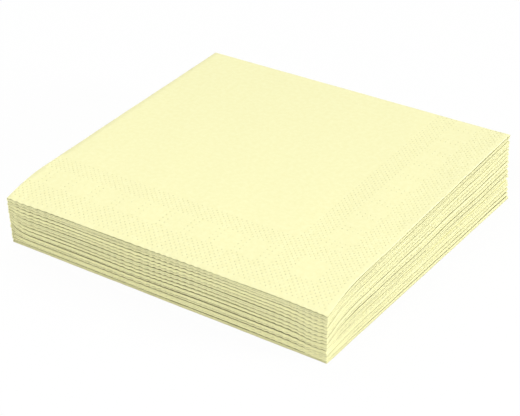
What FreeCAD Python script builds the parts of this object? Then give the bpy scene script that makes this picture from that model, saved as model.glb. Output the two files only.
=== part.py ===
import FreeCAD, Part
import math
import os
import Sketcher

# A stack of square paper napkins, each one a tissue sheet folded twice into a quarter.
# The first fold lies along the +X side and leaves two loops there. The second fold lies
# along the +Y side, where the outer leaves wrap the inner ones. The cut edges are open
# at -X and -Y. The folds are fuller than the open edges, so every napkin is a thin wedge
# and the stack climbs towards +X. Z is up, and the stack stands on Z = 0 about the origin.

os.makedirs("parts", exist_ok=True)
doc = FreeCAD.newDocument("napkin_stack")
sheet = doc.addObject("Spreadsheet::Sheet", "sheet")

# Driving dimensions, in millimetres, degrees and pieces
SIZES = (
    ("napkins", 15, "napkins in the stack"),
    ("side", 165.0, "side of a folded napkin, half the side of the open sheet"),
    ("leaf", 0.30, "thickness of one embossed two-ply leaf"),
    ("slit", 0.11, "air between two leaves at the open edges"),
    ("loop_gap", 0.31, "air inside a loop of the first fold"),
    ("nest_gap", 0.16, "air between the two loops of one napkin"),
    ("crease", 0.30, "thickness of the tissue at the pressed crease of a loop"),
    ("setback", 0.45, "how far the inner leaves end short of the outer ones at -X"),
    ("rest_gap", 0.11, "air between one napkin and the next"),
    ("drift", 0.5, "how far a napkin lies off the middle of the stack"),
    ("skew", 0.22, "how far a napkin is turned in the stack, in degrees"),
)
for row, (alias, value, meaning) in enumerate(SIZES, start=1):
    sheet.set(f"A{row}", meaning)
    sheet.set(f"B{row}", str(value))
    sheet.setAlias(f"B{row}", alias)
doc.recompute()

# Sizes that follow from the driving ones, as expressions on the sheet
OPEN_DEPTH = "(4 * sheet.leaf + 3 * sheet.slit)"
FOLD_DEPTH = "(4 * sheet.leaf + 2 * sheet.loop_gap + sheet.nest_gap)"
LOOP_RADIUS = "(sheet.leaf + sheet.loop_gap / 2)"
LOOP_CENTRE = f"(sheet.side / 2 - {LOOP_RADIUS})"
FOLD_LINE = f"(sheet.side / 2 - {FOLD_DEPTH} / 2)"

# The round of a loop is drawn in this many flats, which leave it within 0.02 mm
LOOP_FLATS = 7

# Even steps of the golden angle scatter the napkins without a visible rhythm
GOLDEN_ANGLE = math.pi * (3 - math.sqrt(5))


def number_from(expression):
    """The value of an expression on the sheet."""
    return float(sheet.evalExpression(expression))


def origin_plane(body, role):
    """One of the three origin planes of a body."""
    return next(item for item in body.Origin.OriginFeatures if item.Role == role)


def straight_spline(start, end):
    """A straight edge that turns over at the second fold as a light ruled face, not as a cone."""
    return Part.BSplineCurve([start, end], None, None, False, 1, None, False)


def leaf_pair_sketch(body, name, edge):
    """The section across the lower two leaves: a hairpin that is open at -X."""
    sketch = body.newObject("Sketcher::SketchObject", f"{body.Name}_{name}")
    sketch.AttachmentSupport = (origin_plane(body, "XZ_Plane"), [""])
    sketch.MapMode = "FlatFace"
    sketch.setExpression("AttachmentOffset.Base.z", f"-{FOLD_LINE}")

    open_x = "-sheet.side / 2"
    inner_x = "(sheet.setback - sheet.side / 2)"
    crease_x = "(sheet.side / 2 - sheet.crease)"
    middle_z = f"(-({FOLD_DEPTH} + sheet.nest_gap) / 4)"
    rim = []
    for step in range(LOOP_FLATS + 1):
        angle = f"({180 * step / LOOP_FLATS - 90} deg)"
        rim_x = f"{LOOP_CENTRE} + {LOOP_RADIUS} * cos{angle}"
        rim_z = f"{middle_z} + {LOOP_RADIUS} * sin{angle}"
        rim.append((rim_x, rim_z))
    corners = [
        (open_x, f"-{OPEN_DEPTH} / 2"),
        *rim,
        (inner_x, "-sheet.slit / 2"),
        (inner_x, "-sheet.slit / 2 - sheet.leaf"),
        (LOOP_CENTRE, "-sheet.nest_gap / 2 - sheet.leaf"),
        (crease_x, middle_z),
        (LOOP_CENTRE, f"sheet.leaf - {FOLD_DEPTH} / 2"),
        (open_x, f"sheet.leaf - {OPEN_DEPTH} / 2"),
    ]
    points = [FreeCAD.Vector(number_from(x), number_from(z), 0) for x, z in corners]
    for start, end in zip(points, points[1:] + points[:1]):
        sketch.addGeometry(edge(start, end))
    for index in range(len(points)):
        following = (index + 1) % len(points)
        sketch.addConstraint(Sketcher.Constraint("Coincident", index, 2, following, 1))
    for index, (corner, point) in enumerate(zip(corners, points)):
        for kind, expression, distance in zip(("DistanceX", "DistanceY"), corner, point):
            sketch.addConstraint(Sketcher.Constraint(kind, -1, 1, index, 1, distance))
            sketch.setExpression(f"Constraints[{sketch.ConstraintCount - 1}]", expression)
    return sketch


def napkin(number):
    """One napkin: the hairpin runs the whole side, turns over at the second fold and runs back."""
    body = doc.addObject("PartDesign::Body", f"napkin_{number:02d}")
    body.Label = f"napkin_{number:02d}"
    flat_section = leaf_pair_sketch(body, "flat_section", Part.LineSegment)
    turned_section = leaf_pair_sketch(body, "turned_section", straight_spline)

    lower_leaves = body.newObject("PartDesign::Pad", f"{body.Name}_lower_leaves")
    lower_leaves.Profile = flat_section
    lower_leaves.setExpression("Length", f"sheet.side / 2 + {FOLD_LINE}")

    second_fold = body.newObject("PartDesign::Revolution", f"{body.Name}_second_fold")
    second_fold.Profile = turned_section
    second_fold.ReferenceAxis = (turned_section, ["H_Axis"])
    second_fold.Angle = 180

    upper_leaves = body.newObject("PartDesign::Mirrored", f"{body.Name}_upper_leaves")
    upper_leaves.Originals = [lower_leaves]
    upper_leaves.MirrorPlane = (origin_plane(body, "XY_Plane"), [""])
    body.Tip = upper_leaves
    return body


def resting_place(number):
    """Where a napkin lies: each one tilts by its own wedge more than the one below."""
    open_depth = number_from(OPEN_DEPTH)
    run = number_from(f"sheet.side / 2 + {LOOP_CENTRE}")
    half_wedge = math.atan(number_from(f"({FOLD_DEPTH} - {OPEN_DEPTH}) / 2") / run)
    half_side = number_from("sheet.side / 2")
    rest_gap = number_from("sheet.rest_gap")
    edge_x = -half_side
    edge_z = 0.0
    for step in range(number - 1):
        tilt = half_wedge * (2 * step + 1)
        face = half_wedge * (2 * step + 2)
        edge_x -= open_depth * math.sin(tilt) + rest_gap * math.sin(face)
        edge_z += open_depth * math.cos(tilt) + rest_gap * math.cos(face)
    tilt = half_wedge * (2 * number - 1)
    lean = FreeCAD.Rotation(FreeCAD.Vector(0, 1, 0), -math.degrees(tilt))
    phase = GOLDEN_ANGLE * number
    skew = number_from("sheet.skew") * math.sin(2 * phase)
    drift = number_from("sheet.drift")
    slide = FreeCAD.Vector(drift * math.sin(phase), drift * math.cos(phase), 0)
    edge = FreeCAD.Vector(edge_x, 0, edge_z)
    middle = edge + lean.multVec(FreeCAD.Vector(half_side, 0, open_depth / 2) + slide)
    turn = FreeCAD.Rotation(FreeCAD.Vector(0, 0, 1), skew)
    return FreeCAD.Placement(middle, lean.multiply(turn))


stack = [napkin(number) for number in range(1, int(number_from("sheet.napkins")) + 1)]
doc.recompute()
for number, body in enumerate(stack, start=1):
    body.Placement = resting_place(number)
doc.recompute()

# The stack's outline is set over the origin, with its underside on Z = 0
outline = FreeCAD.BoundBox()
for body in stack:
    outline.add(body.Shape.BoundBox)
for body in stack:
    body.Placement.Base -= FreeCAD.Vector(outline.Center.x, outline.Center.y, outline.ZMin)
doc.recompute()

for item in doc.Objects:
    if "Invalid" in item.State or "Error" in item.State:
        raise RuntimeError(f"{item.Label} did not compute: {item.State}")
for body in stack:
    if body.Shape.isNull() or not body.Shape.isValid() or len(body.Shape.Solids) != 1:
        raise RuntimeError(f"{body.Label} is not one sound solid")
for body in stack:
    body.Shape.exportStep(f"parts/{body.Label}.step")
    box = body.Shape.BoundBox
    print(f"{body.Label}: {body.Shape.Volume:.0f} mm3, top {box.ZMax:.2f} mm")
print(f"outline {outline.XLength:.2f} x {outline.YLength:.2f} x {outline.ZLength:.2f} mm")
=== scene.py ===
import math

import bpy
import numpy as np
from mathutils import Matrix, Vector


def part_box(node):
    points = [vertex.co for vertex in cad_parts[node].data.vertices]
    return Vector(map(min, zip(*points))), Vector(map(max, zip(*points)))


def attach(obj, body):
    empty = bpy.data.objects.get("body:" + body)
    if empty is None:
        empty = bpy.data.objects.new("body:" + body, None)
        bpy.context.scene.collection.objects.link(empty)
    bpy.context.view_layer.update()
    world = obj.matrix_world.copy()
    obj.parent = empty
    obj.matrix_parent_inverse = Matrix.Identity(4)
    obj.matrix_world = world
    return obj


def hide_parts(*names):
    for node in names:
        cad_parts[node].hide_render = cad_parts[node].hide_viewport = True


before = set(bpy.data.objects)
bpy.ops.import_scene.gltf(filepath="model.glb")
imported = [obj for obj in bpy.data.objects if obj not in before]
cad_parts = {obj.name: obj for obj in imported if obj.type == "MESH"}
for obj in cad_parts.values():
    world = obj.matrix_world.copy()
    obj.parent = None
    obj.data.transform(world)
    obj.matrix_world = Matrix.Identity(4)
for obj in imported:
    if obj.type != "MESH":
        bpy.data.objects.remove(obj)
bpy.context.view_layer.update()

bl_info = {
    "name": "Paper napkin stack",
    "version": (1, 0, 0),
    "blender": (4, 5, 0),
    "location": "3D View > Sidebar > Napkins",
    "description": "Folds a stack of embossed tissue napkins and sets a pale studio round it",
    "category": "Object",
}

# A stack of square napkins, each one an open sheet folded twice. The loops of the first fold
# lie along +X and the second fold lies along +Y. The cut edges are at -X, called the front
# here, and at -Y, called the right. All the leaves of the stack share one field of heights,
# which shares out the air between them.

MM = 0.001
NODES = sorted(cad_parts)
COUNT = len(NODES)
LEAVES = 4
GOLDEN_ANGLE = math.pi * (3 - math.sqrt(5))

# The open sheet is drawn on a net of small squares: two leaves each way with a bend between
LEAF_SQUARES = 256
BEND_SQUARES = 8
NET = 2 * LEAF_SQUARES + BEND_SQUARES
# Widths at which a square is still cut in four where it holds a pin, the widest of all first
NET_WIDTHS = (16, 8, 4)
# Width of the squares beside a fold
FOLD_SQUARE = 4
# The tilt of the sheet is taken over this many squares to each side
NORMAL_STEP = 0.5

# Embossed border, in squares from the cut edges: two bands of pins with pairs of rungs between.
# A pin sits in the middle of a square of its own
PIN_SQUARE = 2
PIN_BANDS = ((4, 22), (42, 58))
PIN_STEP = 4
RUNG_REACH = (22, 42)
RUNG_START = 62
RUNG_STEP = 20
RUNG_PAIR = 4

# A pin mark is two rings round its middle: share of its radius and share of its depth.
# The pins press unevenly, between these shares of the full depth
PIN_CORNERS = 8
PIN_RINGS = ((1.0, 0.0), (0.5, 0.8))
PIN_POINTS = PIN_CORNERS * len(PIN_RINGS) + 1
PIN_PRESSURE = (0.35, 1.0)

# Air inside each napkin and above it at the pinched front edges, from the lowest up, in
# millimetres. The stack's height scales them. Some napkins cling together in pairs
FRONT_AIR_INSIDE = (.10, .08, .08, .10, .08, .08, .10, .08, .20, .40, .06, .06, .06, .35, 1.05)
FRONT_AIR_ABOVE = (.95, .20, 1.0, .20, 1.0, .22, 1.0, .95, 1.0, 1.0, .95, .90, .85, .50)
# The same at the fluffier right edges, then further in, and at the loops of the first fold
RIGHT_AIR_INSIDE = (.30, .35, .40, .30, .60, .50, .55, .40, .30, .35, .35, .30, .40, .50, 1.0)
RIGHT_AIR_ABOVE = (.70, .65, .80, .25, 1.1, .70, .90, .65, .70, .65, .70, .65, .30, .75)
LOOSE_AIR_INSIDE = (.98,) * COUNT
LOOSE_AIR_ABOVE = (.07,) * (COUNT - 1)
FOLD_AIR_INSIDE = (1.38,) * COUNT
FOLD_AIR_ABOVE = (.10,) * (COUNT - 1)

# How the air inside a napkin is split over the three gaps between its leaves, and the factors
# between which one gap may be off that
EVEN_SPLIT = (.3, .4, .3)
TOPMOST_SPLIT = (.2, .3, .5)
LOOP_SPLIT = (.38, .24, .38)
SPLIT_PLAY = (0.75, 1.25)

# The cut edges are pinched over a width, and loosen over a reach further in. Next to the
# second fold the pinch of the front edges is weaker by a share, which fades over its own reach
PINCH_WIDTH = 3
PINCH_REACH = 8
FOLD_FREEDOM = 0.85
FOLD_FREEDOM_REACH = 10
# Too small to show, and keeps a share of nothing from being divided by nothing
TINY = 1e-6

# Waves that all the leaves share: height in millimetres, then place and width as shares of
# the side. The front ones are placed from the second fold and the right ones from the open
# corner, and they fade inwards
FRONT_WAVES = ((-0.45, 0.40, 0.13), (0.40, 0.66, 0.12), (-0.35, 0.93, 0.06))
RIGHT_WAVES = ((-0.40, 0.48, 0.08), (0.30, 0.63, 0.07), (-0.35, 0.83, 0.07))
WAVE_REACH = 35

# A dip of the front edges just before the open corner, in millimetres
DIP_DEPTH = 1.5
DIP_PLACE = 4.5
DIP_WIDTH = 7
DIP_REACH = 9

# The leaves sweep up where the second fold meets the front edges: most at a third of the height
SWEEP_HEIGHT = 2.8
SWEEP_REACH = 12
SWEEP_LEVELS = (0, 0.15, 0.32, 1)
SWEEP_SHARES = (0, 0.25, 1, 0.25)

# The extra droop at the far end of the front edges, as a share of that at the open corner
FAR_CORNER_DROOP = 0.8

# The ripples of the cut edges: strength at the front and at the right, and how fast they fade
# inwards. They wander by waves that are given as an angle, the millimetres to a radian and a
# start. They swell and fade along the edge, and run nearly in step from napkin to napkin
FRONT_RIPPLE = 1.0
RIGHT_RIPPLE = 0.3
RIPPLE_REACH = 2.5
RIPPLE_WANDER = ((2.2, 9.3, 1), (1.3, 4.1, 0))
RIPPLE_PLAY = 0.2
SWELL_MIDDLE = 0.65
SWELL_DEPTH = 0.35
SWELL_LENGTH = 13.7
SWELL_STEP = 0.15
# The lowest napkin has none, and they are full from this napkin on, counted from 0
FULL_RIPPLE_NAPKIN = 2

# Each leaf and each napkin has slow waves of its own: share of the room that it has, and the
# shortest and longest wave. The cut edges waver by a share of a millimetre in the same way
LEAF_WAVES = (0.2, 18, 60)
NAPKIN_WAVES = (0.22, 22, 90)
EDGE_WAVES = (0.09, 9, 60)
EDGE_WAVE_SEEDS = (1000, 9999)

# The foot of the stack has slid by these shares of the creep along X, Y and Z. The higher
# the ease is, the more of the slide lies near the foot
SLIDE = np.array((0.8, -1.0, 0))
SLIDE_EASE = 1.5
# The stiff solids are turned by up to this angle
SOLID_SKEW = math.radians(0.22)

# Seeds of the random draws. The last four count on from leaf to leaf or napkin to napkin
FRONT_SEED = 11
LOOSE_SEED = 12
FOLD_SEED = 13
RIGHT_SEED = 14
PRESSURE_SEED = 31
LEAF_SEED = 100
NAPKIN_SEED = 300
RIPPLE_SEED = 500
EDGE_SEED = 700

# The crepe pattern is this share as fine along its ridges as across them
CREPE_STRETCH = 0.3
# Share of open space round a point of the tissue, below which its colour takes the full painted
# shade between leaves, and above which it takes none
PAINTED_SHADE_FULL_BELOW = 0.36
PAINTED_SHADE_NONE_ABOVE = 0.72
# The floor: its side in metres, the grains across it, and the share of plain white that the
# camera sees in it
FLOOR_SIDE = 4.0
FLOOR_GRAIN = 220.0
FLOOR_WHITE = 0.95

# Lamps: name, setting that holds the power, width and place in metres, and where they point
LAMPS = (
    ("key_lamp", "key", 0.5, (0.35, -1.1, 0.29)),
    ("top_lamp", "top", 1.2, (0.5, 0.7, 1.0)),
    ("front_lamp", "front", 0.8, (-0.98, 0.0, 0.8)),
)
LAMP_TARGET = (0, 0, 0.02)
SENSOR_WIDTH = 36.0


def linear(hex_colour):
    """An sRGB hex colour as the linear colour that the shader takes."""
    shares = [int(hex_colour[i:i + 2], 16) / 255 for i in (0, 2, 4)]
    bent = [s / 12.92 if s <= 0.04045 else ((s + 0.055) / 1.055) ** 2.4 for s in shares]
    return (*bent, 1.0)


def box_mm(node):
    """Lowest and highest corner of a node, in millimetres."""
    low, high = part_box(node)
    return np.array(low) / MM, np.array(high) / MM


TOPMOST_LOW, TOPMOST_HIGH = box_mm(NODES[-1])
FOLD_HEIGHT = float(TOPMOST_HIGH[2])
OPEN_HEIGHT = float(TOPMOST_LOW[2]) * COUNT / (COUNT - 1)


class NapkinSizes(bpy.types.PropertyGroup):
    """Sizes of the sheets and of the way they lie."""

    open_sheet: bpy.props.FloatProperty(
        name="Open sheet", description="Side of the square sheet before it is folded",
        default=0.33, unit="LENGTH")
    leaf: bpy.props.FloatProperty(
        name="Leaf", description="Thickness of one two-ply leaf",
        default=0.0002, unit="LENGTH", precision=5)
    setback: bpy.props.FloatProperty(
        name="Setback", description="How far the cut edge of a leaf ends short of that of the leaf below",
        default=0.00010, unit="LENGTH", precision=5)
    fold_depth: bpy.props.FloatProperty(
        name="Fold depth", description="Thickness of a napkin at its second fold",
        default=0.00198, unit="LENGTH", precision=5)
    fold_bulge: bpy.props.FloatProperty(
        name="Fold bulge", description="How round the second fold is: 1 is a half round, 0 is pressed flat",
        default=0.35, min=0, max=1)
    loop_radius: bpy.props.FloatProperty(
        name="Loop radius", description="How far a loop of the first fold reaches past its centre",
        default=0.00032, unit="LENGTH", precision=5)
    edge_play: bpy.props.FloatProperty(
        name="Edge play", description="How unevenly the cut edges of one napkin lie",
        default=0.00012, unit="LENGTH", precision=5)
    creep: bpy.props.FloatProperty(
        name="Creep", description="How far the foot of the stack has slid towards -Y from under its top",
        default=0.0012, unit="LENGTH", precision=5)
    twist: bpy.props.FloatProperty(
        name="Twist", description="How far the foot of the stack is turned against its top",
        default=math.radians(-0.6), subtype="ANGLE")
    scatter: bpy.props.FloatProperty(
        name="Scatter", description="Share of the stiff solids' scatter that the limp sheets keep",
        default=0.2, min=0, max=1)
    crown: bpy.props.FloatProperty(
        name="Crown", description="How much fuller the stack is just inside its front edges",
        default=0.0027, unit="LENGTH", precision=5)
    droop: bpy.props.FloatProperty(
        name="Droop", description="How far the front edges hang below the line of the stack",
        default=0.0036, unit="LENGTH", precision=5)
    corner_droop: bpy.props.FloatProperty(
        name="Corner droop", description="How much further the open corner hangs",
        default=0.0008, unit="LENGTH", precision=5)
    droop_reach: bpy.props.FloatProperty(
        name="Droop reach", description="How far in from the edge the droop starts",
        default=0.028, unit="LENGTH", precision=4)
    lean: bpy.props.FloatProperty(
        name="Lean", description="How much higher the open end of the first folds is than their middle",
        default=0.0012, unit="LENGTH", precision=5)
    fullness: bpy.props.FloatProperty(
        name="Fullness", description="How much higher the limp folds stand than the stiff solids",
        default=0.0009, unit="LENGTH", precision=5)
    ripple_pitch: bpy.props.FloatProperty(
        name="Ripple pitch", description="Length of the ripples that the pins leave in the cut edges",
        default=0.0036, unit="LENGTH", precision=5)
    ripple: bpy.props.FloatProperty(
        name="Ripple", description="Height of those ripples from their middle to a crest, at their strongest",
        default=0.00021, unit="LENGTH", precision=6)
    pin_radius: bpy.props.FloatProperty(
        name="Pin radius", description="Radius of one embossed pin mark",
        default=0.00040, unit="LENGTH", precision=5)
    pin_depth: bpy.props.FloatProperty(
        name="Pin depth", description="How deep a pin is pressed at most",
        default=0.00018, unit="LENGTH", precision=5)


class TissueLook(bpy.types.PropertyGroup):
    """Colours and surface of the tissue."""

    face: bpy.props.FloatVectorProperty(
        name="Face", description="Cream yellow of the dyed tissue", subtype="COLOR", size=4,
        default=linear("F1EFBD"), min=0, max=1)
    thin: bpy.props.FloatVectorProperty(
        name="Thin spots", description="Tissue where fewer fibres lie", subtype="COLOR", size=4,
        default=linear("EEEBB5"), min=0, max=1)
    # Partly painted shade: the darker colour under a pin stands for the deeper colour of pressed plies and
    # for the shade of its pit
    pressed: bpy.props.FloatVectorProperty(
        name="Pressed", description="Tissue pressed hard under a pin", subtype="COLOR", size=4,
        default=linear("C9C590"), min=0, max=1)
    # Painted shade: the dark colour given to tissue deep between two leaves
    painted_gap_shade: bpy.props.FloatVectorProperty(
        name="Between leaves", description="Tissue deep between two leaves, where little light comes",
        subtype="COLOR", size=4, default=linear("524E22"), min=0, max=1)
    # Reach of the painted shade between leaves
    painted_shade_reach: bpy.props.FloatProperty(
        name="Shade reach", description="Distance within which a neighbouring leaf shades the tissue",
        default=0.0016, unit="LENGTH", precision=5)
    crepe_pitch: bpy.props.FloatProperty(
        name="Crepe pitch", description="Distance between the fine crepe ridges",
        default=0.0009, unit="LENGTH", precision=5)
    fibre_spacing: bpy.props.FloatProperty(
        name="Fibre clumps", description="Distance between clumps of fibre",
        default=0.0022, unit="LENGTH", precision=5)
    bump_height: bpy.props.FloatProperty(
        name="Crepe height", description="Height of the crepe ridges",
        default=0.00006, unit="LENGTH", precision=6)


class StudioSettings(bpy.types.PropertyGroup):
    """Camera and lamps."""

    azimuth: bpy.props.FloatProperty(
        name="View azimuth", description="Turn of the camera round the stack",
        default=math.radians(-58.0), subtype="ANGLE")
    elevation: bpy.props.FloatProperty(
        name="View elevation", description="Height of the camera above the horizon",
        default=math.radians(30.2), subtype="ANGLE")
    roll: bpy.props.FloatProperty(
        name="View roll", description="Tilt of the camera about its own axis",
        default=math.radians(1.36), subtype="ANGLE")
    distance: bpy.props.FloatProperty(
        name="View distance", description="From the camera to the point that it aims at",
        default=0.8124, unit="LENGTH")
    aim: bpy.props.FloatVectorProperty(
        name="Aim", description="Point on the table that the camera aims at",
        default=(0.0078, 0.00705, 0), subtype="XYZ", unit="LENGTH")
    lens: bpy.props.FloatProperty(
        name="Lens", description="Focal length for a 36 mm wide sensor, in millimetres",
        default=120.69)
    sky: bpy.props.FloatProperty(
        name="Fill", description="Strength of the even light from all sides", default=0.40)
    key: bpy.props.FloatProperty(
        name="Key lamp", description="Power of the low soft lamp that lights the right edges",
        default=12.6, unit="POWER")
    top: bpy.props.FloatProperty(
        name="Top lamp", description="Power of the wide soft lamp above the folded corner",
        default=5.8, unit="POWER")
    front: bpy.props.FloatProperty(
        name="Front lamp", description="Power of the high soft lamp that lights the front edges",
        default=8.8, unit="POWER")


def add_node(tree, kind, settings=None, inputs=None):
    """Adds a node, sets it and joins or fills its inputs."""
    node = tree.nodes.new(kind)
    for name, value in (settings or {}).items():
        setattr(node, name, value)
    for name, value in (inputs or {}).items():
        if isinstance(value, bpy.types.NodeSocket):
            tree.links.new(value, node.inputs[name])
        else:
            node.inputs[name].default_value = value
    return node


def new_material(name):
    """An empty node material, its tree and its output."""
    material = bpy.data.materials.new(name)
    material.use_nodes = True
    tree = material.node_tree
    tree.nodes.clear()
    return material, tree, tree.nodes.new("ShaderNodeOutputMaterial")


def creped_tissue(look):
    """Two-ply tissue paper, dyed in the pulp, creped on the drying roll and then pin embossed.

    Creping leaves fine ridges across the sheet and a matt face. Clumps of fibre make it
    slightly cloudy. Under a pin the plies are pressed together and look deeper in colour; that darker colour
    also holds painted shade of the pin's pit.
    Tissue deep between two leaves gets painted shade: its colour darkens towards dark olive the more its
    neighbours shut it in.
    Real crepe ridges are about 0.3 mm apart and are drawn coarser here, so that they show.
    """
    material, tree, output = new_material("creped_tissue_paper")
    flat_map = add_node(tree, "ShaderNodeUVMap", {"uv_map": "Sheet"})
    across = add_node(tree, "ShaderNodeMapping", {}, {
        "Vector": flat_map.outputs["UV"], "Scale": (1.0, CREPE_STRETCH, 1.0)})
    ridges = add_node(tree, "ShaderNodeTexNoise", {"noise_dimensions": "2D"}, {
        "Vector": across.outputs["Vector"], "Scale": 1 / look.crepe_pitch, "Detail": 3.0})
    clumps = add_node(tree, "ShaderNodeTexNoise", {"noise_dimensions": "2D"}, {
        "Vector": flat_map.outputs["UV"], "Scale": 1 / look.fibre_spacing, "Detail": 4.0,
        "Roughness": 0.65})
    cloudy = add_node(tree, "ShaderNodeMapRange", {}, {
        "Value": clumps.outputs["Fac"], "From Min": 0.35, "From Max": 0.7})
    body = add_node(tree, "ShaderNodeMix", {"data_type": "RGBA"}, {
        "Factor": cloudy.outputs["Result"], "A": look.thin, "B": look.face})
    # Pin marks darken the colour by their depth: partly pressed plies, partly painted shade of the pits
    marks = add_node(tree, "ShaderNodeAttribute", {"attribute_name": "pressed"})
    embossed = add_node(tree, "ShaderNodeMix", {"data_type": "RGBA"}, {
        "Factor": marks.outputs["Fac"], "A": body.outputs["Result"], "B": look.pressed})
    # Painted shade between the leaves: the less open space round a point, the nearer its colour comes to the
    # dark between-leaves colour
    openness = add_node(tree, "ShaderNodeAmbientOcclusion", {"samples": 8}, {
        "Distance": look.painted_shade_reach})
    free_of_painted_shade = add_node(tree, "ShaderNodeMapRange", {}, {
        "Value": openness.outputs["AO"], "From Min": PAINTED_SHADE_FULL_BELOW, "From Max": PAINTED_SHADE_NONE_ABOVE})
    colour = add_node(tree, "ShaderNodeMix", {"data_type": "RGBA"}, {
        "Factor": free_of_painted_shade.outputs["Result"], "A": look.painted_gap_shade, "B": embossed.outputs["Result"]})
    height = add_node(tree, "ShaderNodeMath", {"operation": "ADD"}, {
        0: ridges.outputs["Fac"], 1: clumps.outputs["Fac"]})
    bump = add_node(tree, "ShaderNodeBump", {}, {
        "Height": height.outputs["Value"], "Strength": 0.6, "Distance": look.bump_height})
    surface = add_node(tree, "ShaderNodeBsdfPrincipled", {}, {
        "Base Color": colour.outputs["Result"], "Roughness": 0.95, "Specular IOR Level": 0.15,
        "Sheen Weight": 0.08, "Sheen Roughness": 0.5, "Normal": bump.outputs["Normal"]})
    tree.links.new(surface.outputs["BSDF"], output.inputs["Surface"])
    return material


def white_board():
    """White painted board: matt, and seen by the camera as nearly pure white with a soft shadow."""
    material, tree, output = new_material("white_painted_board")
    path = add_node(tree, "ShaderNodeLightPath")
    seen = add_node(tree, "ShaderNodeMath", {"operation": "MAXIMUM"}, {
        0: path.outputs["Is Camera Ray"], 1: path.outputs["Is Glossy Ray"]})
    share = add_node(tree, "ShaderNodeMath", {"operation": "MULTIPLY"}, {
        0: seen.outputs["Value"], 1: FLOOR_WHITE})
    grain = add_node(tree, "ShaderNodeTexNoise", {}, {"Scale": FLOOR_GRAIN, "Detail": 2.0})
    shade = add_node(tree, "ShaderNodeMix", {"data_type": "RGBA"}, {
        "Factor": grain.outputs["Fac"], "A": linear("EEEEED"), "B": linear("F2F2F1")})
    matt = add_node(tree, "ShaderNodeBsdfDiffuse", {}, {"Color": shade.outputs["Result"]})
    glow = add_node(tree, "ShaderNodeEmission", {}, {"Color": linear("FFFFFF"), "Strength": 1.0})
    both = add_node(tree, "ShaderNodeMixShader", {}, {
        0: share.outputs["Value"], 1: matt.outputs["BSDF"], 2: glow.outputs["Emission"]})
    tree.links.new(both.outputs["Shader"], output.inputs["Surface"])
    return material


def studio_sky(strength):
    """Even white light, seen by the camera as plain white."""
    world = bpy.data.worlds.new("studio_sky")
    bpy.context.scene.world = world
    world.use_nodes = True
    tree = world.node_tree
    tree.nodes.clear()
    output = tree.nodes.new("ShaderNodeOutputWorld")
    path = add_node(tree, "ShaderNodeLightPath")
    seen = add_node(tree, "ShaderNodeMath", {"operation": "MAXIMUM"}, {
        0: path.outputs["Is Camera Ray"], 1: path.outputs["Is Glossy Ray"]})
    light = add_node(tree, "ShaderNodeBackground", {}, {
        "Color": linear("FFFFFF"), "Strength": strength})
    white = add_node(tree, "ShaderNodeBackground", {}, {"Color": linear("FFFFFF"), "Strength": 1.0})
    both = add_node(tree, "ShaderNodeMixShader", {}, {
        0: seen.outputs["Value"], 1: light.outputs["Background"], 2: white.outputs["Background"]})
    tree.links.new(both.outputs["Shader"], output.inputs["Surface"])


def pin_places():
    """Lower corners of the squares that hold a pin, counted from a leaf's cut edges."""
    places = set()
    for a in range(0, LEAF_SQUARES, PIN_SQUARE):
        for b in range(0, LEAF_SQUARES, PIN_SQUARE):
            in_band = any(low <= c < high for c in (a, b) for low, high in PIN_BANDS)
            if in_band and min(a, b) >= PIN_BANDS[0][0] and (a - b) % PIN_STEP == 0:
                places.add((a, b))
    for row in range(RUNG_START, LEAF_SQUARES - RUNG_PAIR, RUNG_STEP):
        for along in (row, row + RUNG_PAIR):
            for reach in range(*RUNG_REACH, PIN_STEP):
                places.add((reach, along))
                places.add((along, reach))
    return places


def leaf_squares(pins):
    """Squares that cover one leaf: fine at the cut edges, the folds and the pins, wide elsewhere."""
    held = {size: {(a // size, b // size) for a, b in pins} for size in NET_WIDTHS}
    squares = []
    widest = NET_WIDTHS[0]
    steps = range(0, LEAF_SQUARES, widest)
    waiting = [(a, b, widest) for a in steps for b in steps]
    while waiting:
        a, b, size = waiting.pop()
        from_cut = min(a, b)
        from_fold = LEAF_SQUARES - max(a, b) - size
        too_wide = size > max(1, from_cut) or size > FOLD_SQUARE + from_fold
        if too_wide or (size > PIN_SQUARE and (a // size, b // size) in held[size]):
            half = size // 2
            waiting += [(a + da, b + db, half) for da in (0, half) for db in (0, half)]
        else:
            squares.append((a, b, size))
    return squares


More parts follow.
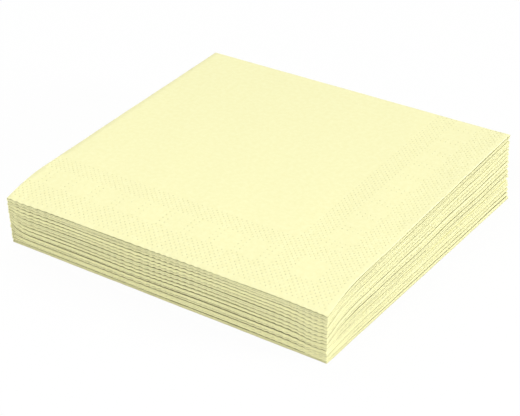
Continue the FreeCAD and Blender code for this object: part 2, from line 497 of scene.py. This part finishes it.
class Net:
    """The open sheet as a net of polygons in whole squares, the same for every napkin of a kind."""

    def __init__(self, pinned_leaves=()):
        pins = pin_places() if pinned_leaves else set()
        plain = leaf_squares(set())
        fine = leaf_squares(pins)
        rects = []
        pin_rects = []
        # The middle two leaves lie past the first fold, and the last two past the second
        for leaf in range(LEAVES):
            far_u = leaf in (1, 2)
            far_v = leaf in (2, 3)
            pinned = leaf in pinned_leaves
            for a, b, size in fine if pinned else plain:
                u = NET - a - size if far_u else a
                v = NET - b - size if far_v else b
                rect = (u, v, u + size, v + size)
                rects.append(rect)
                if pinned and size == PIN_SQUARE and (a, b) in pins:
                    pin_rects.append(rect)
        bend = range(LEAF_SQUARES, LEAF_SQUARES + BEND_SQUARES)
        for along in (*range(0, LEAF_SQUARES, FOLD_SQUARE), *range(bend.stop, NET, FOLD_SQUARE)):
            for across in bend:
                rects.append((across, along, across + 1, along + FOLD_SQUARE))
                rects.append((along, across, along + FOLD_SQUARE, across + 1))
        rects += [(u, v, u + 1, v + 1) for u in bend for v in bend]

        self.places = []
        self.index = {}
        for u0, v0, u1, v1 in rects:
            for place in ((u0, v0), (u1, v0), (u1, v1), (u0, v1)):
                self.add_place(place)
        for u0, v0, u1, v1 in pin_rects:
            for place in ((u0 + 1, v0), (u1, v0 + 1), (u0 + 1, v1), (u0, v0 + 1)):
                self.add_place(place)
        pin_set = set(pin_rects)
        self.plain = [self.outline(rect) for rect in rects if rect not in pin_set]
        self.pinned = [self.outline(rect) for rect in pin_rects]
        self.pin_centres = [((u0 + u1) / 2, (v0 + v1) / 2) for u0, v0, u1, v1 in pin_rects]
        self.rim = self.outline((0, 0, NET, NET))

    def add_place(self, place):
        """Numbers a corner of the net once."""
        if place not in self.index:
            self.index[place] = len(self.places)
            self.places.append(place)

    def outline(self, rect):
        """Corners round a square, with those that its finer neighbours put on its sides."""
        u0, v0, u1, v1 = rect
        walk = [(u, v0) for u in range(u0, u1)] + [(u1, v) for v in range(v0, v1)]
        walk += [(u, v1) for u in range(u1, u0, -1)] + [(u0, v) for v in range(v1, v0, -1)]
        return [self.index[place] for place in walk if place in self.index]


def falloff(distance, reach):
    """1 at an edge and 0 from a reach inwards, easing out."""
    return np.clip(1 - distance / reach, 0, 1) ** 2


def bell(distance, width):
    """1 in the middle and nearly 0 from two widths on."""
    return np.exp(-(distance / width) ** 2)


def bumps(shapes, along):
    """Soft rises and dips along a side, given as height, place and width."""
    return sum(height * bell(along - place, width) for height, place, width in shapes)


def soft_waves(seed, x, y, shortest, longest, count=3):
    """Slow seeded waves over the table, between -1 and 1."""
    draw = np.random.default_rng(seed)
    total = 0
    for _ in range(count):
        heading, phase = draw.uniform(0, 2 * math.pi, 2)
        length = draw.uniform(shortest, longest)
        along = x * math.cos(heading) + y * math.sin(heading)
        total = total + np.sin(2 * math.pi * along / length + phase)
    return total / count


class Stack:
    """How high every leaf of the stack lies over a point of the table, in millimetres."""

    def __init__(self, sizes):
        self.side = sizes.open_sheet / 2 / MM
        self.half = self.side / 2
        self.leaf = sizes.leaf / MM
        self.crown = sizes.crown / MM
        self.droop = sizes.droop / MM
        self.corner_droop = sizes.corner_droop / MM
        self.reach = sizes.droop_reach / MM
        self.lean = sizes.lean / MM
        self.fullness = sizes.fullness / MM
        self.ripple = sizes.ripple / MM
        self.ripple_pitch = sizes.ripple_pitch / MM
        self.front_shares = self.air_shares(
            FRONT_AIR_INSIDE, FRONT_AIR_ABOVE, EVEN_SPLIT, TOPMOST_SPLIT, FRONT_SEED)
        self.right_shares = self.air_shares(
            RIGHT_AIR_INSIDE, RIGHT_AIR_ABOVE, EVEN_SPLIT, TOPMOST_SPLIT, RIGHT_SEED)
        self.loose_shares = self.air_shares(
            LOOSE_AIR_INSIDE, LOOSE_AIR_ABOVE, EVEN_SPLIT, TOPMOST_SPLIT, LOOSE_SEED)
        self.fold_shares = self.air_shares(
            FOLD_AIR_INSIDE, FOLD_AIR_ABOVE, LOOP_SPLIT, LOOP_SPLIT, FOLD_SEED)

    def air_shares(self, inside, above, split, topmost_split, seed):
        """Share of all the air in the stack that lies below each leaf."""
        draw = np.random.default_rng(seed)
        gaps = []
        for number in range(COUNT):
            gaps.append(above[number - 1] if number else 0.0)
            own_split = topmost_split if number == COUNT - 1 else split
            uneven = np.array(own_split) * draw.uniform(*SPLIT_PLAY, len(split))
            gaps += list(inside[number] * uneven / uneven.sum())
        below = np.cumsum(gaps)
        return below / below[-1]

    def height(self, x, y):
        """Height of the whole stack."""
        climb = (x + self.half) / self.side
        inner = OPEN_HEIGHT + self.crown
        outer = FOLD_HEIGHT + self.fullness - self.lean * y / self.half
        at_cut = falloff(x + self.half, self.reach)
        at_open_corner = falloff(y + self.half, self.reach)
        at_far_corner = falloff(self.half - y, self.reach)
        at_corner = at_cut * (at_open_corner + FAR_CORNER_DROOP * at_far_corner)
        level = inner + (outer - inner) * climb
        return level - self.droop * at_cut - self.corner_droop * at_corner

    def wave(self, x, y):
        """The common waves of the leaves half way up the stack."""
        front_fade = np.exp(-(x + self.half) / WAVE_REACH)
        right_fade = np.exp(-(y + self.half) / WAVE_REACH)
        front_wave = bumps(FRONT_WAVES, (self.half - y) / self.side)
        right_wave = bumps(RIGHT_WAVES, (x + self.half) / self.side)
        dip = bell(y + self.half - DIP_PLACE, DIP_WIDTH) * np.exp(-(x + self.half) / DIP_REACH)
        return front_wave * front_fade + right_wave * right_fade - DIP_DEPTH * dip

    def swept_up(self, share, x, y):
        """How far a leaf sweeps up where the second fold meets the front edges."""
        from_front = np.maximum(x + self.half, 0)
        at_fold = falloff(self.half - y, SWEEP_REACH) * np.exp(-from_front / SWEEP_REACH)
        return SWEEP_HEIGHT * at_fold * np.interp(share, SWEEP_LEVELS, SWEEP_SHARES)

    def ripples(self, napkin, x, y):
        """The ripples that the pins leave in the cut edges."""
        draw = np.random.default_rng(RIPPLE_SEED + napkin)
        total = 0
        for along, inward, strength in ((y, x, FRONT_RIPPLE), (x, y, RIGHT_RIPPLE)):
            at_rim = np.exp(-np.maximum(inward + self.half, 0) / RIPPLE_REACH)
            wander = sum(angle * np.sin(along / length + start)
                         for angle, length, start in RIPPLE_WANDER)
            wander = wander + draw.uniform(-RIPPLE_PLAY, RIPPLE_PLAY)
            swell = SWELL_MIDDLE + SWELL_DEPTH * np.sin(along / SWELL_LENGTH + SWELL_STEP * napkin)
            turn = 2 * math.pi * along / self.ripple_pitch + wander
            total = total + strength * at_rim * swell * np.sin(turn)
        return self.ripple * min(1, napkin / FULL_RIPPLE_NAPKIN) * total

    def leaf_height(self, leaf, x, y):
        """Height of the middle of one leaf, counted from the lowest of the stack."""
        climb = np.clip((x + self.half) / self.side, 0, 1)
        air = self.height(x, y) - LEAVES * COUNT * self.leaf
        held = 1 - FOLD_FREEDOM * falloff(self.half - y, FOLD_FREEDOM_REACH)
        near_front = held * falloff(np.maximum(x + self.half - PINCH_WIDTH, 0), PINCH_REACH)
        near_right = falloff(np.maximum(y + self.half - PINCH_WIDTH, 0), PINCH_REACH)
        near_cut = np.maximum(near_front, near_right)
        front_part = near_front / (near_front + near_right + TINY)

        def share(number):
            number = min(max(number, 0), LEAVES * COUNT - 1)
            inner = self.loose_shares[number] * (1 - climb) + self.fold_shares[number] * climb
            cut = (self.front_shares[number] * front_part
                   + self.right_shares[number] * (1 - front_part))
            return inner * (1 - near_cut) + cut * near_cut

        def gap_below(number):
            if number <= 0:
                return 0 * climb
            if number >= LEAVES * COUNT:
                return 1 + 0 * climb
            return (share(number) - share(number - 1)) * air

        own_share = share(leaf)
        level = (leaf + 0.5) * self.leaf + own_share * air
        level = level + self.wave(x, y) * 4 * own_share * (1 - own_share)
        level = level + self.swept_up(own_share, x, y)
        napkin = leaf // LEAVES
        leaf_room = np.minimum(gap_below(leaf), gap_below(leaf + 1))
        napkin_room = np.minimum(gap_below(napkin * LEAVES), gap_below((napkin + 1) * LEAVES))
        for seed, room, (part, shortest, longest) in (
                (LEAF_SEED + leaf, leaf_room, LEAF_WAVES),
                (NAPKIN_SEED + napkin, napkin_room, NAPKIN_WAVES)):
            level = level + part * room * soft_waves(seed, x, y, shortest, longest)
        return level + self.ripples(napkin, x, y)


class Napkin:
    """One folded sheet: it turns places on the open net into points of the folded napkin."""

    def __init__(self, number, stack, sizes):
        self.number = number
        self.stack = stack
        low, high = box_mm(NODES[number])
        from_top = (1 - number / (COUNT - 1)) ** SLIDE_EASE
        self.centre = (low + high) / 2 * sizes.scatter + SLIDE * sizes.creep / MM * from_top
        phase = GOLDEN_ANGLE * (number + 1)
        skew = SOLID_SKEW * math.sin(2 * phase) * sizes.scatter + sizes.twist * from_top
        self.turn = (math.cos(skew), math.sin(skew))
        self.half = stack.half
        self.loop = sizes.loop_radius / MM
        self.loop_x = self.half - self.loop - stack.leaf / 2
        self.fold_bulge = sizes.fold_bulge
        self.fold_y = self.half - self.fold_bulge * sizes.fold_depth / MM / 2
        draw = np.random.default_rng(EDGE_SEED + number)
        self.shifts = draw.uniform(0, sizes.edge_play / MM, (LEAVES, 2))
        if number < COUNT - 1:
            self.shifts += sizes.setback / MM * np.arange(LEAVES)[:, None]
        self.seeds = draw.integers(*EDGE_WAVE_SEEDS, (LEAVES, 2))

    def edge(self, leaf, side, along):
        """Where a cut edge of one leaf lies: side 0 is the front and side 1 the right."""
        depth, shortest, longest = EDGE_WAVES
        uneven = depth * soft_waves(self.seeds[leaf, side], along, 0 * along, shortest, longest)
        return -self.half + self.shifts[leaf, side] + uneven

    def place(self, u, v):
        """Middle of the leaf at a place of the net, in millimetres."""
        past_first = np.clip((u - LEAF_SQUARES) / BEND_SQUARES, 0, 1)
        past_second = np.clip((v - LEAF_SQUARES) / BEND_SQUARES, 0, 1)
        run_x = np.minimum(np.minimum(u, NET - u) / LEAF_SQUARES, 1)
        run_y = np.minimum(np.minimum(v, NET - v) / LEAF_SQUARES, 1)
        weights = ((1 - past_first) * (1 - past_second), past_first * (1 - past_second),
                   past_first * past_second, (1 - past_first) * past_second)
        rough_x = -self.half + 2 * self.half * run_x
        rough_y = -self.half + 2 * self.half * run_y
        open_x = sum(w * self.edge(leaf, 0, rough_y) for leaf, w in enumerate(weights))
        open_y = sum(w * self.edge(leaf, 1, rough_x) for leaf, w in enumerate(weights))
        x = open_x + (self.loop_x - open_x) * run_x + self.loop * np.sin(math.pi * past_first)
        y = open_y + (self.fold_y - open_y) * run_y
        world_x = self.centre[0] + x * self.turn[0] - y * self.turn[1]
        world_y = self.centre[1] + x * self.turn[1] + y * self.turn[0]
        first = self.number * LEAVES
        levels = [self.stack.leaf_height(first + leaf, world_x, world_y) for leaf in range(LEAVES)]
        swing = np.cos(math.pi * past_first)
        lower = (levels[0] + levels[1]) / 2 - swing * (levels[1] - levels[0]) / 2
        upper = (levels[3] + levels[2]) / 2 + swing * (levels[3] - levels[2]) / 2
        middle = (levels[1] + levels[2]) / 2
        turn = np.cos(math.pi * past_second)
        drop = (middle - lower) * (1 + turn) / 2 + (upper - middle) * (1 - turn) / 2
        bulge = self.fold_bulge * (upper - lower) / 2 * np.sin(math.pi * past_second)
        world_x = world_x - bulge * self.turn[1]
        world_y = world_y + bulge * self.turn[0]
        return np.stack((world_x, world_y, middle - turn * drop), axis=-1)

    def surface(self, u, v, side, sunk=0.0):
        """A point on one face of the leaf: side 1 is the inside of the first fold, -1 its outside."""
        along_u = self.place(u + NORMAL_STEP, v) - self.place(u - NORMAL_STEP, v)
        along_v = self.place(u, v + NORMAL_STEP) - self.place(u, v - NORMAL_STEP)
        normal = np.cross(along_u, along_v)
        normal /= np.linalg.norm(normal, axis=-1, keepdims=True)
        return self.place(u, v) + side * (self.stack.leaf / 2 - sunk) * normal


def pin_points(net, sizes, stack):
    """Net places and depths of the points of all the pin marks: ring after ring, then the middle."""
    radius = sizes.pin_radius / MM * LEAF_SQUARES / stack.side
    depth = sizes.pin_depth / MM
    corner_angle = 2 * math.pi / PIN_CORNERS
    # The rings start towards the first corner of the pin's square
    first_angle = 5 * math.pi / 4
    draw = np.random.default_rng(PRESSURE_SEED)
    places = []
    for centre_u, centre_v in net.pin_centres:
        pressure = draw.uniform(*PIN_PRESSURE)
        for share, sunk in PIN_RINGS:
            for corner in range(PIN_CORNERS):
                angle = first_angle + corner * corner_angle
                places.append((centre_u + share * radius * math.cos(angle),
                               centre_v + share * radius * math.sin(angle), sunk * pressure * depth))
        places.append((centre_u, centre_v, pressure * depth))
    return np.array(places).reshape(-1, 3)


def pin_faces(edge, first):
    """Faces of one pin mark, inside its square's edge, with its points numbered from the first."""
    wide = [first + corner for corner in range(PIN_CORNERS)]
    narrow = [first + PIN_CORNERS + corner for corner in range(PIN_CORNERS)]
    middle = first + PIN_POINTS - 1
    faces = []
    for corner in range(PIN_CORNERS):
        following = (corner + 1) % PIN_CORNERS
        faces.append([wide[corner], wide[following], edge[following], edge[corner]])
        faces.append([narrow[corner], narrow[following], wide[following], wide[corner]])
        faces.append([middle, narrow[following], narrow[corner]])
    return faces


def sheet_mesh(napkin, net, stack, sizes):
    """The folded sheet as one closed mesh: both faces, the pin marks and the cut rim."""
    places = np.array(net.places, float)
    inner = napkin.surface(places[:, 0], places[:, 1], 1)
    outer = napkin.surface(places[:, 0], places[:, 1], -1)
    pins = pin_points(net, sizes, stack)
    marks = napkin.surface(pins[:, 0], pins[:, 1], -1, pins[:, 2:3])
    points = np.concatenate((inner, outer, marks)) * MM
    offset = len(places)

    faces = [list(outline) for outline in net.plain + net.pinned]
    faces += [[offset + corner for corner in reversed(outline)] for outline in net.plain]
    for index, outline in enumerate(net.pinned):
        edge = [offset + corner for corner in outline]
        faces += pin_faces(edge, 2 * offset + index * PIN_POINTS)
    smooth_faces = len(faces)
    for start, end in zip(net.rim, net.rim[1:] + net.rim[:1]):
        faces.append([end, start, offset + start, offset + end])

    mesh = bpy.data.meshes.new("folded_" + NODES[napkin.number])
    mesh.from_pydata(points.tolist(), [], faces)
    mesh.polygons.foreach_set("use_smooth", np.arange(len(faces)) < smooth_faces)
    flat = np.concatenate((places, places, pins[:, :2])) * stack.side / LEAF_SQUARES * MM
    corners = np.empty(len(mesh.loops), np.int32)
    mesh.loops.foreach_get("vertex_index", corners)
    sheet_map = mesh.uv_layers.new(name="Sheet")
    sheet_map.data.foreach_set("uv", flat[corners].ravel().astype(np.float32))
    if len(pins):
        # How deep each point is pressed, which also sets the pins' darker colour, partly painted shade
        pressed = mesh.attributes.new("pressed", "FLOAT", "POINT")
        deep = np.concatenate((np.zeros(2 * offset), pins[:, 2] / (sizes.pin_depth / MM)))
        pressed.data.foreach_set("value", deep.astype(np.float32))
    mesh.update()
    return mesh


def fold_napkin(number, net, stack, sizes, material):
    """Makes one folded napkin, which rests on the one below."""
    mesh = sheet_mesh(Napkin(number, stack, sizes), net, stack, sizes)
    mesh.materials.append(material)
    piece = bpy.data.objects.new(mesh.name, mesh)
    bpy.context.scene.collection.objects.link(piece)
    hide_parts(NODES[number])
    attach(piece, "root")


def tissue_material(scene):
    """The tissue, made once for all the napkins."""
    return bpy.data.materials.get("creped_tissue_paper") or creped_tissue(scene.tissue_look)


class NAPKINS_OT_fold_inner(bpy.types.Operator):
    """Fold every napkin that lies between the lowest and the topmost"""

    bl_idname = "napkins.fold_inner"
    bl_label = "Fold the inner napkins"

    def execute(self, context):
        sizes = context.scene.napkin_sizes
        stack = Stack(sizes)
        net = Net()
        for number in range(1, COUNT - 1):
            fold_napkin(number, net, stack, sizes, tissue_material(context.scene))
        return {"FINISHED"}


class NAPKINS_OT_fold_outer(bpy.types.Operator):
    """Fold the lowest and the topmost napkin, whose embossed border shows"""

    bl_idname = "napkins.fold_outer"
    bl_label = "Fold the embossed outer napkins"

    def execute(self, context):
        sizes = context.scene.napkin_sizes
        stack = Stack(sizes)
        for number, leaf in ((0, 0), (COUNT - 1, LEAVES - 1)):
            fold_napkin(number, Net((leaf,)), stack, sizes, tissue_material(context.scene))
        return {"FINISHED"}


def aim_at(thing, place, target):
    """Puts a lamp at a place, facing a target."""
    thing.location = place
    thing.rotation_euler = (Vector(place) - Vector(target)).to_track_quat("Z", "Y").to_euler()


class NAPKINS_OT_set_stage(bpy.types.Operator):
    """Set the floor, the lamps and the camera round the stack"""

    bl_idname = "napkins.set_stage"
    bl_label = "Set the stage"

    def execute(self, context):
        studio = context.scene.studio_settings
        bpy.ops.object.select_all(action="DESELECT")
        bpy.ops.mesh.primitive_plane_add(size=FLOOR_SIDE, location=(0, 0, 0))
        floor = context.object
        floor.name = "studio_floor"
        floor.data.materials.append(white_board())
        studio_sky(studio.sky)
        for name, setting, width, place in LAMPS:
            bpy.ops.object.light_add(type="AREA")
            lamp = context.object
            lamp.name = name
            lamp.data.shape = "DISK"
            lamp.data.size = width
            lamp.data.energy = getattr(studio, setting)
            aim_at(lamp, place, LAMP_TARGET)
        self.place_camera(context, studio)
        return {"FINISHED"}

    def place_camera(self, context, studio):
        """Sets the camera up at the open corner, rolled about its own axis."""
        azimuth, elevation, roll = studio.azimuth, studio.elevation, studio.roll
        right = Vector((math.cos(azimuth), math.sin(azimuth), 0))
        back = Vector((math.sin(azimuth) * math.cos(elevation),
                       -math.cos(azimuth) * math.cos(elevation), math.sin(elevation)))
        up = back.cross(right)
        rolled_right = right * math.cos(roll) + up * math.sin(roll)
        rolled_up = up * math.cos(roll) - right * math.sin(roll)
        bpy.ops.object.camera_add()
        camera = context.object
        camera.name = "view_from_the_open_corner"
        camera.data.sensor_width = SENSOR_WIDTH
        camera.data.lens = studio.lens
        camera.data.clip_start = 0.05
        camera.data.clip_end = 20.0
        turn = Matrix((rolled_right, rolled_up, back)).transposed().to_4x4()
        camera.matrix_world = Matrix.Translation(Vector(studio.aim) + back * studio.distance) @ turn
        context.scene.camera = camera


class NAPKINS_PT_panel(bpy.types.Panel):
    """Buttons and sizes of the napkin stack"""

    bl_idname = "NAPKINS_PT_panel"
    bl_label = "Napkins"
    bl_space_type = "VIEW_3D"
    bl_region_type = "UI"
    bl_category = "Napkins"

    def draw(self, context):
        for operator in OPERATORS:
            self.layout.operator(operator.bl_idname)
        for group_name in GROUPS:
            group = getattr(context.scene, group_name)
            column = self.layout.column()
            for name in group.__annotations__:
                column.prop(group, name)


OPERATORS = (NAPKINS_OT_fold_inner, NAPKINS_OT_fold_outer, NAPKINS_OT_set_stage)
GROUPS = {"napkin_sizes": NapkinSizes, "tissue_look": TissueLook, "studio_settings": StudioSettings}


def register():
    """Registers the classes and hangs the property groups on the scene."""
    for kind in (*GROUPS.values(), *OPERATORS, NAPKINS_PT_panel):
        bpy.utils.register_class(kind)
    for name, kind in GROUPS.items():
        setattr(bpy.types.Scene, name, bpy.props.PointerProperty(type=kind))


def unregister():
    """Takes the property groups and the classes away again."""
    for name in GROUPS:
        delattr(bpy.types.Scene, name)
    for kind in reversed((*GROUPS.values(), *OPERATORS, NAPKINS_PT_panel)):
        bpy.utils.unregister_class(kind)


def main():
    """Makes the stack and its stage."""
    register()
    bpy.context.scene.view_settings.view_transform = "Standard"
    bpy.ops.napkins.fold_inner()
    bpy.ops.napkins.fold_outer()
    bpy.ops.napkins.set_stage()


if __name__ == "__main__":
    main()
